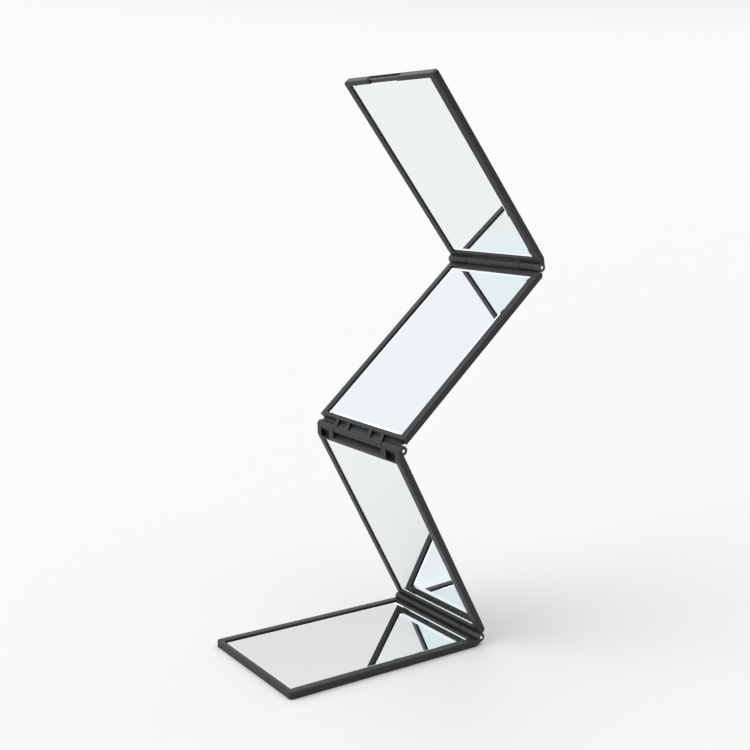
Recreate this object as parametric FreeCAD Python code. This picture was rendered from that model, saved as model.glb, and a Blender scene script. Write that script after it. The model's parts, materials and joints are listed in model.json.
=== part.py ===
import FreeCAD, Part
import math
import os

# Folding stand mirror: four flat trays moulded in black plastic, hinged end to end as an accordion.
# Every tray holds one rectangular glass mirror on two strips of foam tape, set below a narrow lip.
# The base tray lies on its back with its mirror up, and the other three zigzag above it.
# The base and top hinges fold mirror to mirror, and the middle hinge folds back to back.
# World frame: origin under the middle of the base tray, +Z up, hinge axes along Y.
# Panel frame: origin on the panel's front hinge axis, x along the panel, y along the axis, z to the front.
# Hinge frame: the same, and turned half round for the middle hinge, which lies behind the panels.

# Mirror and its tape, in millimetres
window_width = 76.4          # opening inside the lip, across the panel
window_length = 135.0        # opening inside the lip, along the panel
glass_thickness = 1.8
glass_clearance = 0.25       # all round between the glass and the tray wall
bevel_width = 1.3            # polished edge of the glass, along its face
bevel_depth = 0.45           # polished edge of the glass, into its thickness
tape_thickness = 0.4
tape_width = 14.0
tape_margin = 10.0           # from the window's sides and ends to the tape

# Tray
floor_thickness = 1.3
mirror_recess = 1.1          # from the front of the lip down to the glass
side_lip = 4.8
free_end_lip = 3.0
front_hinge_bar = 2.4        # lip between the window and the end wall at a front hinge
back_hinge_bar = 2.9         # lip between the window and the end wall at the middle hinge
edge_round = 0.7
free_corner_round = 2.0      # corners of a free end, seen from the front
lip_chamfer = 0.3            # inner edge of the lip

# Finger notch in the top tray's free end
notch_length = 31.0
notch_ramp = 3.0             # where the notch rises at each of its ends
notch_depth = 0.8
notch_lip = 0.6              # wall left behind the notch, at the back of the tray
notch_offset = 4.3           # from the middle of the tray towards its left side

# Hinges
barrel_radius = 2.9
barrel_round = 0.4           # ends of the barrels
barrel_gap = 0.3             # from a barrel to the nearest edge of the tray beside it
fold_gap = 1.6               # between two panels folded flat on each other
front_wall_gap = 0.8         # from a front hinge's barrel to the foot of the trays' end walls
back_wall_gap = 1.3          # from the middle hinge's barrel to the foot of the trays' end walls
ear_length = 18.0
ear_gap = 0.3                # between an ear and the knuckle beside it
ear_ledge = 2.0              # ledge that closes the gap beside an ear's barrel at the middle hinge
ledge_inset = 3.0            # from the side of the tray to the ledge
heel_round = 4.0             # where a tray's far face turns towards a barrel
rib_width = 3.0
end_pocket = 9.0             # between the first two ribs at each end of the middle knuckle
ear_pocket = 9.0             # between the two sides of an ear at the middle hinge
pocket_floor = 1.3           # under an ear's pocket
pocket_lip = 1.4             # between an ear's pocket and the window

# Hinge pins
pin_radius = 1.2
pin_reach = 9.0              # into the knuckle
pin_sink = 0.1               # below the ear's outer face
pin_chamfer = 0.25
pin_end_play = 0.4           # beyond the pin, in the knuckle's hole
press_clearance = 0.01       # pin in its ear
running_clearance = 0.05     # pin in the knuckle

# Openings of the hinges as it stands, in degrees between the two faces that fold together
base_opening = 58.8
middle_opening = 102.1
top_opening = 91.1

# Sizes worked out from the ones above
panel_width = window_width + 2 * side_lip
half_width = panel_width / 2
full_width = (-half_width, half_width)
panel_thickness = floor_thickness + tape_thickness + glass_thickness + mirror_recess
axis_offset = fold_gap / 2
front = -axis_offset
back = front - panel_thickness
back_axis = back - axis_offset
front_wall = barrel_radius + front_wall_gap
back_wall = barrel_radius + back_wall_gap
wall_top = math.sqrt((barrel_radius + barrel_gap) ** 2 - axis_offset ** 2)
window_start = front_wall + front_hinge_bar
window_end = window_start + window_length
outer_length = window_end + free_end_lip
inner_length = window_end + back_hinge_bar + back_wall
ear_inner = half_width - ear_length
knuckle_half = ear_inner - ear_gap
glass_front = front - mirror_recess
glass_back = glass_front - glass_thickness
floor_top = back + floor_thickness
beyond = panel_thickness     # how far a cutter runs past what it cuts
hair = 1e-4                  # two places closer than this are the same


def vector(x, y, z):
    return FreeCAD.Vector(x, y, z)


def block(x, y, z):
    """A box between two x values, two y values and two z values."""
    return Part.makeBox(x[1] - x[0], y[1] - y[0], z[1] - z[0], vector(x[0], y[0], z[0]))


def prism(outline, y):
    """A side outline of (x, z) points, carried along the hinge direction between two y values."""
    corners = [vector(px, y[0], pz) for px, pz in outline]
    face = Part.Face(Part.makePolygon(corners + corners[:1]))
    return face.extrude(vector(0, y[1] - y[0], 0))


def rod(radius, y):
    """A cylinder on the hinge axis between two y values."""
    return Part.makeCylinder(radius, y[1] - y[0], vector(0, y[0], 0), vector(0, 1, 0))


def barrel(y):
    """A length of hinge barrel with its two ends eased."""
    plain = rod(barrel_radius, y)
    rims = [edge for edge in plain.Edges if edge.BoundBox.YLength < hair]
    return plain.makeFillet(barrel_round, rims)


def mirrored(y):
    """The same y values on the other side of the panel."""
    return -y[1], -y[0]


def to_middle_hinge(shape):
    """Turn a shape made on the hinge axis half round, onto the middle hinge's axis behind the panel."""
    turned = shape.copy()
    turned.rotate(vector(0, 0, 0), vector(0, 1, 0), 180)
    turned.translate(vector(inner_length, 0, back_axis))
    return turned


def heel_outline(wall, reach):
    """Side outline of a plate that ends at reach, with a heel from its far edge to the barrel.

    The heel is the line from the far edge of the end wall that just touches the barrel."""
    turn = math.acos(barrel_radius / math.hypot(wall, back))
    angle = math.atan2(back, wall) - turn
    touch = (barrel_radius * math.cos(angle), barrel_radius * math.sin(angle))
    return [(0, front), (reach, front), (reach, back), (wall, back), touch]


def heeled_plate(wall, reach, y):
    """A plate with a heel, between two y values, with the heel's edge rounded."""
    plate = prism(heel_outline(wall, reach), y)
    heel = [edge for edge in plate.Edges
            if abs(edge.CenterOfMass.x - wall) < hair and abs(edge.CenterOfMass.z - back) < hair]
    return plate.makeFillet(heel_round, heel)


def round_end(plate, x, radius):
    """Round the two upright corners at one end of a plate."""
    corners = [edge for edge in plate.Edges
               if abs(edge.CenterOfMass.x - x) < hair and edge.BoundBox.YLength < hair]
    return plate.makeFillet(radius, corners)


def round_rims(plate):
    """Round the front and back rims along a plate's sides and heel, and on round its rounded corners."""
    rims = []
    for edge in plate.Edges:
        box = edge.BoundBox
        upright = box.XLength < hair
        in_barrel = math.hypot(edge.CenterOfMass.x, edge.CenterOfMass.z) < barrel_radius
        if box.YLength < hair and not upright and not in_barrel:
            rims.append(edge)
    return plate.makeFillet(edge_round, rims)


def knuckle_room(wall, y):
    """Cutter that leaves an end wall along a knuckle's barrel between two y values.

    The wall leans over from its foot, at wall, to its top edge close beside the barrel."""
    def lean(z):
        return wall + (wall_top - wall) * (z - back) / (front - back)

    low = back - beyond
    high = front + beyond
    far = -barrel_radius - beyond
    return prism([(lean(low), low), (lean(high), high), (far, high), (far, low)], y)


def front_ear_room(y):
    """Cutter that leaves an end wall beside an ear's barrel at a front hinge, between two y values.

    The wall rises from its foot straight towards the axis, and is hollowed round the barrel."""
    far = -barrel_radius - beyond
    corner = prism([(0, 0), (2 * front_wall, 2 * back), (far, 2 * back), (far, beyond), (0, beyond)], y)
    return corner.fuse(rod(barrel_radius + barrel_gap, y))


def middle_ear_room(y, outer_y):
    """Cutter that leaves an end wall beside an ear's barrel at the middle hinge, between two y values.

    The wall stands straight, over a ledge that is hollowed round the barrel. There is no ledge in outer_y."""
    far = -barrel_radius - beyond
    low = back - beyond
    beside = block((far, 0), y, (low, beyond))
    over_ledge = block((far, back_wall), y, (low, front - ear_ledge))
    past_ledge = block((far, back_wall), outer_y, (low, beyond))
    return beside.multiFuse([over_ledge, past_ledge, rod(barrel_radius + barrel_gap, y)])


def front_knuckle_end():
    """Cutters for a front hinge's end that is to carry a knuckle, with room for an ear at each side of it."""
    side = (knuckle_half, half_width + beyond)
    middle = knuckle_room(front_wall, (-knuckle_half, knuckle_half))
    return [middle, front_ear_room(side), front_ear_room(mirrored(side))]


def middle_knuckle_end():
    """The same cutters for the middle hinge, turned onto its axis."""
    side = (knuckle_half, half_width + beyond)
    outer = (half_width - ledge_inset, half_width + beyond)
    middle = knuckle_room(back_wall, (-knuckle_half, knuckle_half))
    rooms = [middle_ear_room(side, outer), middle_ear_room(mirrored(side), mirrored(outer))]
    return [to_middle_hinge(cutter) for cutter in [middle] + rooms]


def eared(plate, wall, pockets):
    """A plate with a heel, opened for a knuckle, and an ear with its barrel left at each side."""
    ear = (ear_inner, half_width)
    plate = plate.cut([knuckle_room(wall, (-ear_inner, ear_inner))] + pockets)
    plate = plate.multiFuse([barrel(ear), barrel(mirrored(ear))])
    return plate.cut(rod(pin_radius + press_clearance, (-half_width - beyond, half_width + beyond)))


def bored(knuckle):
    """Cut the blind hole for a pin into each end of a knuckle."""
    hole = (knuckle_half - pin_reach - pin_end_play, knuckle_half + beyond)
    radius = pin_radius + running_clearance
    return knuckle.cut(rod(radius, hole)).cut(rod(radius, mirrored(hole)))


def front_knuckle():
    """The long barrel between two ears at a front hinge, with a solid web back to the end wall."""
    span = (-knuckle_half, knuckle_half)
    return bored(heeled_plate(front_wall, window_start, span).fuse(barrel(span)))


def middle_knuckle():
    """The long barrel at the middle hinge, held by a thin floor and four ribs with pockets between."""
    span = (-knuckle_half, knuckle_half)
    floor = block((0, back_wall), span, (-barrel_radius, front))
    pieces = [floor]
    inner_rib = knuckle_half - rib_width - end_pocket
    for edge in (knuckle_half, inner_rib):
        rib = (edge - rib_width, edge)
        pieces += [heeled_plate(back_wall, back_wall + back_hinge_bar, y) for y in (rib, mirrored(rib))]
    return bored(barrel(span).multiFuse(pieces))


def ear_pockets():
    """Cutters for one pocket in each ear, open to the face away from the hinge and blind at the other."""
    middle = (ear_inner + half_width) / 2
    y = (middle - ear_pocket / 2, middle + ear_pocket / 2)
    x = (-barrel_radius - beyond, back_wall + back_hinge_bar - pocket_lip)
    z = (back - beyond, front - pocket_floor)
    return [block(x, y, z), block(x, mirrored(y), z)]


def cut_window(tray):
    """Sink the mirror's seat into the front of a tray and ease the lip round it."""
    half = window_width / 2
    tray = tray.cut(block((window_start, window_end), (-half, half), (floor_top, front + beyond)))
    lip = []
    for edge in tray.Edges:
        box = edge.BoundBox
        in_window = box.XMin > window_start - hair and box.XMax < window_end + hair
        if in_window and box.YMin > -half - hair and box.YMax < half + hair and abs(box.ZMin - front) < hair:
            lip.append(edge)
    return tray.makeChamfer(lip_chamfer, lip)


def outer_tray():
    """The base tray, and the top tray before its notch: ears at one end, the other end free."""
    plate = round_end(heeled_plate(front_wall, outer_length, full_width), outer_length, free_corner_round)
    return cut_window(eared(round_rims(plate), front_wall, []))


def top_tray():
    """An outer tray with a finger notch in its free end, where the lip is cut down flush with the glass."""
    floor = outer_length - notch_depth
    inside = window_end - lip_chamfer
    past = outer_length + beyond
    step = [(floor, back + notch_lip), (floor, glass_front), (inside, glass_front)]
    sunk = prism(step + [(inside, beyond), (past, beyond), (past, back + notch_lip)], full_width)
    half = notch_length / 2
    foot = half - notch_ramp
    plan = [(inside, -foot), (outer_length, -half), (past, -half)]
    plan += [(x, -y) for x, y in reversed(plan)]
    corners = [vector(x, y + notch_offset, back) for x, y in plan]
    ramped = Part.Face(Part.makePolygon(corners + corners[:1])).extrude(vector(0, 0, 2 * beyond))
    return outer_tray().cut(sunk.common(ramped))


def lower_tray():
    """Knuckle at the base hinge, ears with pockets at the middle hinge."""
    plate = round_rims(heeled_plate(back_wall, inner_length, full_width))
    plate = to_middle_hinge(eared(plate, back_wall, ear_pockets()))
    return cut_window(plate.cut(front_knuckle_end()).fuse(front_knuckle()))


def upper_tray():
    """Knuckles at both ends, solid at the top hinge and ribbed at the middle hinge."""
    plate = round_rims(block((0, inner_length), full_width, (back, front)))
    plate = plate.cut(front_knuckle_end() + middle_knuckle_end())
    plate = plate.multiFuse([front_knuckle(), to_middle_hinge(middle_knuckle())])
    return cut_window(plate)


def mirror():
    """A rectangle of silvered glass with a ground bevel round its face."""
    def outline(inset, z):
        x0 = window_start + glass_clearance + inset
        x1 = window_end - glass_clearance - inset
        y1 = window_width / 2 - glass_clearance - inset
        corners = [vector(x0, -y1, z), vector(x1, -y1, z), vector(x1, y1, z), vector(x0, y1, z)]
        return Part.makePolygon(corners + corners[:1])

    shoulder = glass_front - bevel_depth
    plate = Part.Face(outline(0, glass_back)).extrude(vector(0, 0, shoulder - glass_back))
    bevel = Part.makeLoft([outline(0, shoulder), outline(bevel_width, glass_front)], True, True)
    return plate.fuse(bevel)


def tape(side):
    """One strip of double-sided foam tape along a side of the mirror's seat."""
    outer = window_width / 2 - tape_margin
    y = (outer - tape_width, outer)
    x = (window_start + tape_margin, window_end - tape_margin)
    return block(x, y if side > 0 else mirrored(y), (floor_top, glass_back))


def pin(side):
    """One steel pin, pressed through an ear and running in the knuckle beside it."""
    y = (knuckle_half - pin_reach, half_width - pin_sink)
    plain = rod(pin_radius, y if side > 0 else mirrored(y))
    rims = [edge for edge in plain.Edges if edge.BoundBox.YLength < hair]
    return plain.makeChamfer(pin_chamfer, rims)


def panel_place(axis, heading, face_up):
    """The placement of a panel whose front hinge axis is at axis and whose length runs along heading.

    Headings turn from +X towards +Z. A panel that isn't face_up is rolled half round its own length."""
    turn = FreeCAD.Rotation(vector(0, 1, 0), -heading)
    roll = FreeCAD.Rotation(vector(1, 0, 0), 0 if face_up else 180)
    return FreeCAD.Placement(axis, turn.multiply(roll))


def panel_places():
    """The placements of the four panels as the mirror stands, from the base upwards."""
    middle_hinge = vector(inner_length, 0, back_axis)
    base_heading = 180
    lower_heading = base_heading - base_opening
    upper_heading = lower_heading + middle_opening
    top_heading = upper_heading - top_opening
    base_axis = vector(outer_length / 2, 0, -back)
    lower = panel_place(base_axis, lower_heading, True)
    upper = panel_place(vector(0, 0, 0), upper_heading, False)
    top_axis = lower.multVec(middle_hinge) - upper.multVec(middle_hinge)
    return {
        "base": panel_place(base_axis, base_heading, False),
        "lower": lower,
        "upper": panel_place(top_axis, upper_heading, False),
        "top": panel_place(top_axis, top_heading, True),
    }


def nodes():
    """Every piece of the mirror in its place, by name."""
    places = panel_places()
    trays = {"base": outer_tray(), "lower": lower_tray(), "upper": upper_tray(), "top": top_tray()}
    sides = {"left": 1, "right": -1}
    pieces = {}
    for panel, place in places.items():
        across = 1 if panel in ("lower", "top") else -1
        made = {"tray": trays[panel], "mirror": mirror()}
        for side, sign in sides.items():
            made[f"tape_{side}"] = tape(sign * across)
        for name, shape in made.items():
            pieces[f"{panel}_{name}"] = (shape, place)
    for side, sign in sides.items():
        pieces[f"base_hinge_pin_{side}"] = (pin(sign), places["lower"])
        pieces[f"middle_hinge_pin_{side}"] = (to_middle_hinge(pin(sign)), places["lower"])
        pieces[f"top_hinge_pin_{side}"] = (pin(sign), places["top"])
    return pieces


os.makedirs("parts", exist_ok=True)
for name, (shape, place) in nodes().items():
    placed = shape.removeSplitter()
    placed.Placement = place.multiply(placed.Placement)
    placed.exportStep(f"parts/{name}.step")
    print(name, placed.isValid(), len(placed.Solids), round(placed.Volume, 1))
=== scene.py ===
import json
import math

import bpy
import numpy as np
from mathutils import Euler, Matrix, Vector


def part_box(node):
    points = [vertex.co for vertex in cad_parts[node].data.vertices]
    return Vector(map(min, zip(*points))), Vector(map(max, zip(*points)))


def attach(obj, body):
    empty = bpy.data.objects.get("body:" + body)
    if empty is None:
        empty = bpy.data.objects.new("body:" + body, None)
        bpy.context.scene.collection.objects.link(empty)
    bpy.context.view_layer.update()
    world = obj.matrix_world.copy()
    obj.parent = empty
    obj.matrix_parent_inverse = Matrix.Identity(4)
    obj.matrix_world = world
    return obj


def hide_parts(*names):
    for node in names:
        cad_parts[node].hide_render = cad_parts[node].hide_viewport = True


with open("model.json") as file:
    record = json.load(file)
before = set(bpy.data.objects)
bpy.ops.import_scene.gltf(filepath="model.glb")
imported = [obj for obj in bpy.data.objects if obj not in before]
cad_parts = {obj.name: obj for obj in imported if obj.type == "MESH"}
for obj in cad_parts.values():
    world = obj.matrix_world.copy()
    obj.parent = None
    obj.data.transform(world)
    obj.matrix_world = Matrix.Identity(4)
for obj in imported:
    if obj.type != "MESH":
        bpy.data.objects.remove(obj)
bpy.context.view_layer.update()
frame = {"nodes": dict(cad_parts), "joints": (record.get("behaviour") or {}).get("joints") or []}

# Trays: four shallow plates injection moulded in black plastic, with ears or knuckles at their ends.
# The tool's spark-eroded face leaves an even grain, and handling polishes the rims a little.
# Each is finished in its own panel frame: x along the panel from its front hinge, z out of its front.

hinges = {joint["name"]: joint for joint in frame["joints"]}


def opening(name):
    """The angle of a hinge as the mirror stands: its range starts where the two panels are folded shut."""
    return -hinges[name]["range_deg"][0]


base_heading = 180
lower_heading = base_heading - opening("base_hinge")
upper_heading = lower_heading + opening("middle_hinge")
top_heading = upper_heading - opening("top_hinge")

# front hinge, heading from +X towards +Z, and the half turn of a panel whose front looks the other way
panels = {
    "base": ("base_hinge", base_heading, math.pi),
    "lower": ("base_hinge", lower_heading, 0),
    "upper": ("top_hinge", upper_heading, math.pi),
    "top": ("top_hinge", top_heading, 0),
}


def panel_turn(panel):
    """A panel's turn: rolled about its own length, then swung up about the hinge direction."""
    heading, roll = panels[panel][1:]
    return Euler((roll, -math.radians(heading), 0))


def panel_origin(panel):
    """A panel's own zero: the middle of its front hinge's axis."""
    return Vector(hinges[panels[panel][0]]["pos_m"])


class Shade:
    """A value that changes over a surface. Sums on it add Math nodes to its finish."""

    def __init__(self, finish, socket):
        self.finish = finish
        self.socket = socket

    def maths(self, operation, *values):
        return self.finish.node("ShaderNodeMath", {"operation": operation}, dict(enumerate(values)))

    def __add__(self, other):
        return self.maths("ADD", self, other)

    def __radd__(self, other):
        return self.maths("ADD", other, self)

    def __sub__(self, other):
        return self.maths("SUBTRACT", self, other)

    def __rsub__(self, other):
        return self.maths("SUBTRACT", other, self)

    def __mul__(self, other):
        return self.maths("MULTIPLY", self, other)

    def __rmul__(self, other):
        return self.maths("MULTIPLY", other, self)

    def __abs__(self):
        return self.maths("ABSOLUTE", self)

    def sign(self):
        return self.maths("SIGN", self)

    def least(self, other):
        return self.maths("MINIMUM", self, other)

    def most(self, other):
        return self.maths("MAXIMUM", self, other)

    def step(self, start, end):
        """0 before start and 1 after end, with a smooth rise or fall between them."""
        return self.finish.node("ShaderNodeMapRange", {"interpolation_type": "SMOOTHSTEP"},
                                {"Value": self, "From Min": start, "From Max": end})


class Finish:
    """A material, or the light of a whole room, mixed by adding nodes to it."""

    def __init__(self, name, kind=bpy.data.materials, shader="Principled BSDF"):
        self.owner = kind.new(name)
        self.owner.use_nodes = True
        self.tree = self.owner.node_tree
        self.surface = self.tree.nodes[shader]

    def node(self, kind, settings, inputs, output=0):
        """Add one node: its settings first, then the values or links of its sockets."""
        made = self.tree.nodes.new(kind)
        for name, value in settings.items():
            setattr(made, name, value)
        self.fill(made, inputs)
        return Shade(self, made.outputs[output])

    def fill(self, node, inputs):
        for key, value in inputs.items():
            if isinstance(value, Shade):
                self.tree.links.new(value.socket, node.inputs[key])
            else:
                node.inputs[key].default_value = value

    def paint(self, **inputs):
        """Set the surface shader's own sockets, named with _ for a space."""
        self.fill(self.surface, {name.replace("_", " "): value for name, value in inputs.items()})

    def place(self):
        return self.node("ShaderNodeTexCoord", {}, {}, "Object")

    def on_panel(self, panel):
        """Object coordinates brought into a panel's own frame."""
        inputs = {"Vector": self.place(), "Location": panel_origin(panel), "Rotation": panel_turn(panel)}
        return self.node("ShaderNodeMapping", {"vector_type": "TEXTURE"}, inputs)

    def parts_of(self, vector):
        return [self.node("ShaderNodeSeparateXYZ", {}, {"Vector": vector}, axis) for axis in "XYZ"]

    def stretched(self, vector, scale):
        return self.node("ShaderNodeVectorMath", {"operation": "MULTIPLY"}, {0: vector, 1: scale})

    def noise(self, vector, scale, detail=2.0, roughness=0.5):
        inputs = {"Vector": vector, "Scale": scale, "Detail": detail, "Roughness": roughness}
        return self.node("ShaderNodeTexNoise", {}, inputs, "Fac")

    def mix(self, share, first, second):
        """A colour between two colours."""
        return self.node("ShaderNodeMix", {"data_type": "RGBA"}, {0: share, 6: first, 7: second}, 2)

    def bump(self, height, distance):
        inputs = {"Height": height, "Distance": distance, "Strength": 1.0}
        return self.node("ShaderNodeBump", {}, inputs, "Normal")


half_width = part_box("base_tray")[1].y
tray_thickness = 0.0046
tray_back = -panel_origin("base").z
tray_front = tray_back + tray_thickness
rim_round = 0.0007
grain_size = 0.00011
grain_height = 4e-6
clouds_per_metre = 35.0
wear_per_metre = 260.0
scuffs_per_metre = (60, 900, 900)
plastic_dark = (0.008, 0.008, 0.009, 1)
plastic_pale = (0.014, 0.014, 0.016, 1)
plastic_rubbed = (0.045, 0.045, 0.048, 1)
plastic_roughness = 0.38
plastic_sheen = 0.38


def moulded_plastic(panel):
    """Satin black plastic: fine grain, faint flow clouds and scuffs, and rims rubbed a little brighter."""
    finish = Finish(f"{panel}_tray_plastic")
    spot = finish.on_panel(panel)
    y, z = finish.parts_of(spot)[1:]
    from_side = half_width - abs(y)
    from_face = (tray_front - z).least(z - tray_back)
    clouds = finish.noise(spot, clouds_per_metre, 3.0)
    scuffs = finish.noise(finish.stretched(spot, scuffs_per_metre), 1.0, 3.0, 0.6).step(0.62, 0.74)
    rim = (from_side + from_face).step(rim_round * 1.1, rim_round * 0.5)
    rubbed = rim * finish.noise(spot, wear_per_metre, 4.0, 0.65).step(0.3, 0.6)
    tone = finish.mix(clouds, plastic_dark, plastic_pale)
    tone = finish.mix(rubbed * 0.6, tone, plastic_rubbed)
    grain = finish.noise(spot, 1 / grain_size, 2.0, 0.6)
    finish.paint(Base_Color=tone, Normal=finish.bump(grain, grain_height), Specular_IOR_Level=plastic_sheen,
                 Roughness=plastic_roughness + clouds * 0.10 - rubbed * 0.10 - scuffs * 0.06)
    return finish.owner


for panel in panels:
    tray = frame["nodes"][f"{panel}_tray"]
    tray.data.materials.clear()
    tray.data.materials.append(moulded_plastic(panel))

# Foam tape: two strips of white double-sided closed-cell foam under each mirror.
# It is cut from a roll and pressed onto the tray's floor, and the glass is pressed onto it.

bubbles_per_metre = 3500.0
bubble_depth = 3e-5
# painted shade: the darker tone put in the bubbles' hollows, where shade falls
painted_hollow_shade = (0.70, 0.70, 0.66, 1)
foam_white = (0.82, 0.82, 0.79, 1)


def foam(panel):
    """White foam with fine open bubbles on its cut edges; the bubbles' hollows are painted darker, as
    painted shade.
    """
    finish = Finish(f"{panel}_tape_foam")
    spot = finish.on_panel(panel)
    cells = {"Vector": spot, "Scale": bubbles_per_metre}
    bubbles = finish.node("ShaderNodeTexVoronoi", {}, cells, "Distance")
    finish.paint(Base_Color=finish.mix(bubbles, painted_hollow_shade, foam_white), Roughness=0.8 + bubbles * 0.1,
                 Normal=finish.bump(bubbles, bubble_depth))
    return finish.owner


for panel in panels:
    foam_finish = foam(panel)
    for side in ("left", "right"):
        strip = frame["nodes"][f"{panel}_tape_{side}"]
        strip.data.materials.clear()
        strip.data.materials.append(foam_finish)

# Mirrors: rectangles of float glass, silvered and painted on the back, and held by the foam tape.
# A narrow bevel is ground and polished round the face, and the cut edges are left matt and greenish.

glass_low, glass_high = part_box("base_mirror")
hinge_place = panel_origin("base")
glass_start = hinge_place.x - glass_high.x
glass_end = hinge_place.x - glass_low.x
glass_half = glass_high.y
glass_front = glass_high.z - hinge_place.z
glass_back = glass_low.z - hinge_place.z
bevel_width = 0.0013
bevel_depth = 0.00045
arris = 0.00006
corner_round = 0.0004
corner_steps = 6


def glass_plate():
    """A cross-section carried round a rectangle with small corner arcs.

    Each row of the grid is the rectangle drawn in by the section's inset, at the section's height:
    face, bevel, edge and back. The first and last rows are closed with flat faces."""
    section = np.array([
        (bevel_width + arris, glass_front),
        (bevel_width, glass_front - arris * 0.1),
        (bevel_width - arris, glass_front - arris * 0.45),
        (arris, glass_front - bevel_depth + arris * 0.3),
        (0, glass_front - bevel_depth - arris),
        (0, glass_back + arris),
        (arris, glass_back),
    ])
    turn = np.linspace(0, np.pi / 2, corner_steps)
    angle = (np.arange(4)[:, None] * np.pi / 2 + turn).ravel()
    middle_x = (glass_start + glass_end) / 2
    half_x = (glass_end - glass_start) / 2
    sign_x = np.repeat((1, -1, -1, 1), corner_steps)
    sign_y = np.repeat((1, 1, -1, -1), corner_steps)
    inset = section[:, :1]
    x = middle_x + sign_x * (half_x - corner_round - inset) + np.cos(angle) * corner_round
    y = sign_y * (glass_half - corner_round - inset) + np.sin(angle) * corner_round
    z = np.broadcast_to(section[:, 1:], x.shape)
    points = np.stack([x, y, z], -1).reshape(-1, 3)
    rows, count = x.shape
    row, place = np.meshgrid(np.arange(rows - 1), np.arange(count), indexing="ij")
    after = (place + 1) % count
    quads = np.stack([row * count + place, (row + 1) * count + place,
                      (row + 1) * count + after, row * count + after], -1).reshape(-1, 4)
    face = np.arange(count)
    faces = quads.tolist() + [face.tolist(), (face[::-1] + (rows - 1) * count).tolist()]
    return points, faces


def panel_matrix(panel):
    """Takes points from a panel's own frame to the row frame."""
    return Matrix.Translation(panel_origin(panel)) @ panel_turn(panel).to_matrix().to_4x4()


hinge_strip = 0.0022
side_strip = 0.0017
hinge_lean = 1.0
strip_lean = 0.5
end_lean = 0.5
side_lean = 0.15
corner_reach = 0.004


def prism_turn(finish, panel, x, y):
    """Which way a bevel mirrors: its wedge of glass bends the light, so that the silver behind it seems to
    lean in towards the middle of the plate.

    It leans most on the bevel by the front hinge, half as much on the strip beside that bevel and at the
    far end, and least along the sides."""
    by_hinge = (x - glass_start).step(hinge_strip + arris, hinge_strip)
    on_bevel = (x - glass_start).step(bevel_width + arris * 2, bevel_width + arris)
    by_end = (glass_end - x).step(bevel_width + arris * 2, bevel_width + arris)
    by_side = (glass_half - abs(y)).step(corner_reach, corner_reach * 0.5)
    lean_x = by_hinge * strip_lean + on_bevel * (hinge_lean - strip_lean) - by_end * end_lean
    lean_y = by_side * (by_end * (side_lean - end_lean) - side_lean) * y.sign()
    leaning = finish.node("ShaderNodeCombineXYZ", {}, {0: lean_x, 1: lean_y, 2: 1.0})
    turned = finish.node("ShaderNodeMapping", {"vector_type": "NORMAL"},
                         {"Vector": leaning, "Rotation": panel_turn(panel)})
    to_world = {"vector_type": "NORMAL", "convert_from": "OBJECT", "convert_to": "WORLD"}
    return finish.node("ShaderNodeVectorTransform", to_world, {"Vector": turned})


smudges_per_metre = 28.0
silver = (0.885, 0.915, 0.915, 1)
# painted highlight: a brighter silver for the bevel and for the face strips by the front hinge and along
# the sides
painted_highlight_silver = (0.94, 0.95, 0.95, 1)
cut_glass = (0.30, 0.38, 0.36, 1)
polish = 0.012


def silvered_glass(panel):
    """Silver seen through clear glass, faintly smudged, with a polished bevel and matt cut edges.

    On the bevel, and on a strip of the face by the front hinge and along the sides, the silver is painted
    brighter: a painted highlight for the bright line of light that the bevel reflects."""
    finish = Finish(f"{panel}_mirror_silver")
    spot = finish.on_panel(panel)
    x, y, z = finish.parts_of(spot)
    bevel_foot = glass_front - bevel_depth
    bevel = z.step(glass_front - arris * 0.05, glass_front - arris * 0.4)
    edge = z.step(bevel_foot - arris * 0.5, bevel_foot - arris * 1.5)
    by_hinge = (x - glass_start).step(hinge_strip, hinge_strip - arris)
    by_side = (glass_half - abs(y)).step(side_strip, side_strip - arris)
    # painted highlight: the bevel and the strips beside it take the brighter silver
    painted_highlight_band = bevel.most(by_hinge.most(by_side))
    smudge = finish.noise(spot, smudges_per_metre, 4.0, 0.6).step(0.5, 0.8)
    tone = finish.mix(painted_highlight_band, silver, painted_highlight_silver)
    tone = finish.mix(edge, tone, cut_glass)
    outward = finish.node("ShaderNodeNewGeometry", {}, {}, "Normal")
    facing = finish.node("ShaderNodeMix", {"data_type": "VECTOR"},
                         {0: painted_highlight_band - edge, 4: outward, 5: prism_turn(finish, panel, x, y)}, 1)
    finish.paint(Base_Color=tone, Metallic=1 - edge, Normal=facing,
                 Roughness=polish + smudge * 0.015 + bevel * 0.03 + edge * 0.4)
    return finish.owner


plate_points, plate_faces = glass_plate()
for panel in panels:
    mesh = bpy.data.meshes.new(f"{panel}_mirror_plate")
    mesh.from_pydata(plate_points.tolist(), [], plate_faces)
    mesh.transform(panel_matrix(panel))
    mesh.materials.append(silvered_glass(panel))
    plate = bpy.data.objects.new(f"{panel}_mirror_plate", mesh)
    bpy.context.scene.collection.objects.link(plate)
    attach(plate, f"{panel}_panel")
    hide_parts(f"{panel}_mirror")

# Hinge pins: short lengths of drawn steel wire with chamfered ends, two to a hinge.
# Each is pressed through an ear and turns in the knuckle beside it.

drawing_lines_per_metre = (9000, 300, 9000)
steel_dull = (0.80, 0.79, 0.77, 1)
steel_bright = (0.93, 0.92, 0.90, 1)


def drawn_steel():
    """Bright steel with fine drawing lines along the pin, which runs along Y."""
    finish = Finish("pin_drawn_steel")
    lines = finish.noise(finish.stretched(finish.place(), drawing_lines_per_metre), 1.0, 2.0)
    finish.paint(Base_Color=finish.mix(lines, steel_dull, steel_bright), Metallic=1.0,
                 Roughness=0.28 + lines * 0.14)
    return finish.owner


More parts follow.
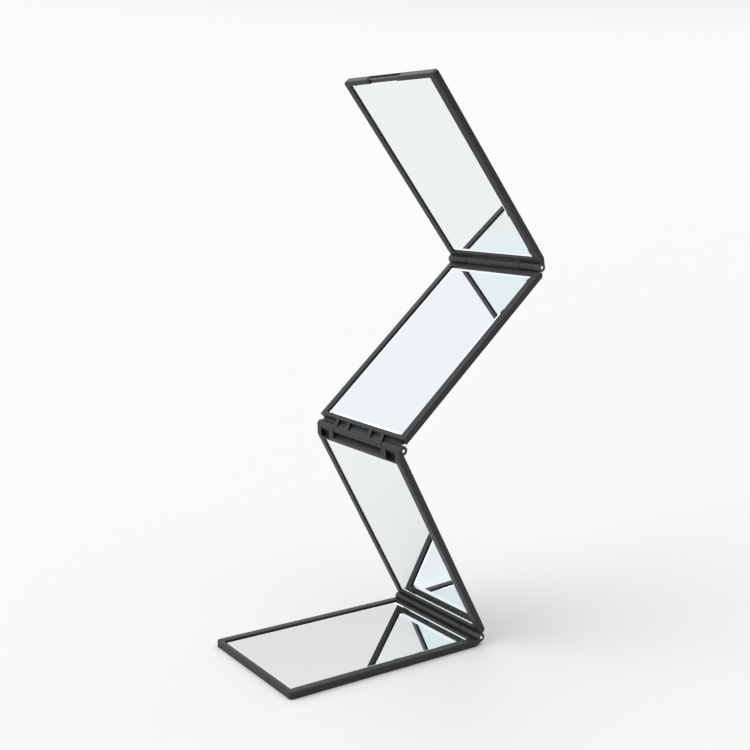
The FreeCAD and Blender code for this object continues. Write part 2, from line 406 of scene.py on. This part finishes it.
pin_finish = drawn_steel()
for hinge in ("base", "middle", "top"):
    for side in ("left", "right"):
        pin = frame["nodes"][f"{hinge}_hinge_pin_{side}"]
        pin.data.materials.clear()
        pin.data.materials.append(pin_finish)

# Floor: a plain pale matt tabletop, under the base tray's flat back.
# It runs on to the horizon, where its tone meets the wall's.

floor_reach = 30.0
floor_mesh = bpy.data.meshes.new("floor")
floor_mesh.from_pydata([(-floor_reach, -floor_reach, 0), (floor_reach, -floor_reach, 0),
                        (floor_reach, floor_reach, 0), (-floor_reach, floor_reach, 0)], [], [(0, 1, 2, 3)])
floor_finish = Finish("floor_pale")
floor_finish.paint(Base_Color=(0.665, 0.655, 0.645, 1), Roughness=0.7, Specular_IOR_Level=0.2)
floor_mesh.materials.append(floor_finish.owner)
floor = bpy.data.objects.new("floor", floor_mesh)
bpy.context.scene.collection.objects.link(floor)

# Light: a pale room, dimmer on the viewer's side, lit from a wide bright ceiling with one skylight
# behind the mirror, and by one broad soft window low on the left.

left_wall = (0.98, 1.03, 1.04, 1)
right_wall = (0.968, 0.966, 0.964, 1)
right_wall_above = (0.82, 0.80, 0.80, 1)
upper_air = (0.965, 0.975, 1.01, 1)
viewer_side = (0.36, 0.36, 0.37, 1)
ceiling = (1.8, 1.82, 1.85, 1)
skylight_glow = (2.3, 2.38, 2.4, 1)

room = Finish("soft_room", bpy.data.worlds, "Background")
across, inward, upward = room.parts_of(room.node("ShaderNodeTexCoord", {}, {}, "Generated"))
wall = room.mix(across.step(-0.25, 0.25), left_wall, right_wall)
wall = room.mix(upward.step(0.14, 0.24) * across.step(-0.2, 0.3), wall, right_wall_above)
air = room.mix(upward.step(0.35, 0.6), wall, upper_air)
air = room.mix(inward.step(0.1, -0.4) * upward.step(0.0, 0.3), air, viewer_side)
air = room.mix(upward.step(0.68, 0.85), air, ceiling)
between_sides = across.step(0.01, 0.10) * across.step(0.48, 0.35)
skylight = upward.step(0.46, 0.56) * between_sides * inward.step(0.2, 0.4)
room.paint(Color=room.mix(skylight, air, skylight_glow))
bpy.context.scene.world = room.owner

window = bpy.data.lights.new("window", "SUN")
window.angle = math.radians(50)
window.energy = 1.6
window_shines = Vector((0.87, -0.2, -0.45))
window_light = bpy.data.objects.new("window", window)
window_light.rotation_euler = window_shines.to_track_quat("-Z", "Y").to_euler()
bpy.context.scene.collection.objects.link(window_light)

# Camera: at the place, turn and focal length that line up the hinges and the mirrors' corners.
# It stands to the left of the mirror's front, a little lower than its top, and rolls slightly.

camera_place = Vector((-0.377516, -0.508611, 0.276367))
camera_round = math.radians(-37.303)
camera_above = math.radians(9.188)
camera_roll = math.radians(2.536)
camera = bpy.data.cameras.new("camera")
camera.sensor_width = 36.0
camera.lens = 50.840
camera.clip_start = 0.01
camera.clip_end = 200.0
viewer = bpy.data.objects.new("camera", camera)
backward = Vector((math.sin(camera_round) * math.cos(camera_above),
                   -math.cos(camera_round) * math.cos(camera_above), math.sin(camera_above)))
level = Vector((math.cos(camera_round), math.sin(camera_round), 0))
rightward = math.cos(camera_roll) * level + math.sin(camera_roll) * backward.cross(level)
turned = Matrix((rightward, backward.cross(rightward), backward)).transposed()
viewer.matrix_world = Matrix.Translation(camera_place) @ turned.to_4x4()
bpy.context.scene.collection.objects.link(viewer)
bpy.context.scene.camera = viewer
bpy.context.scene.view_settings.view_transform = "Standard"
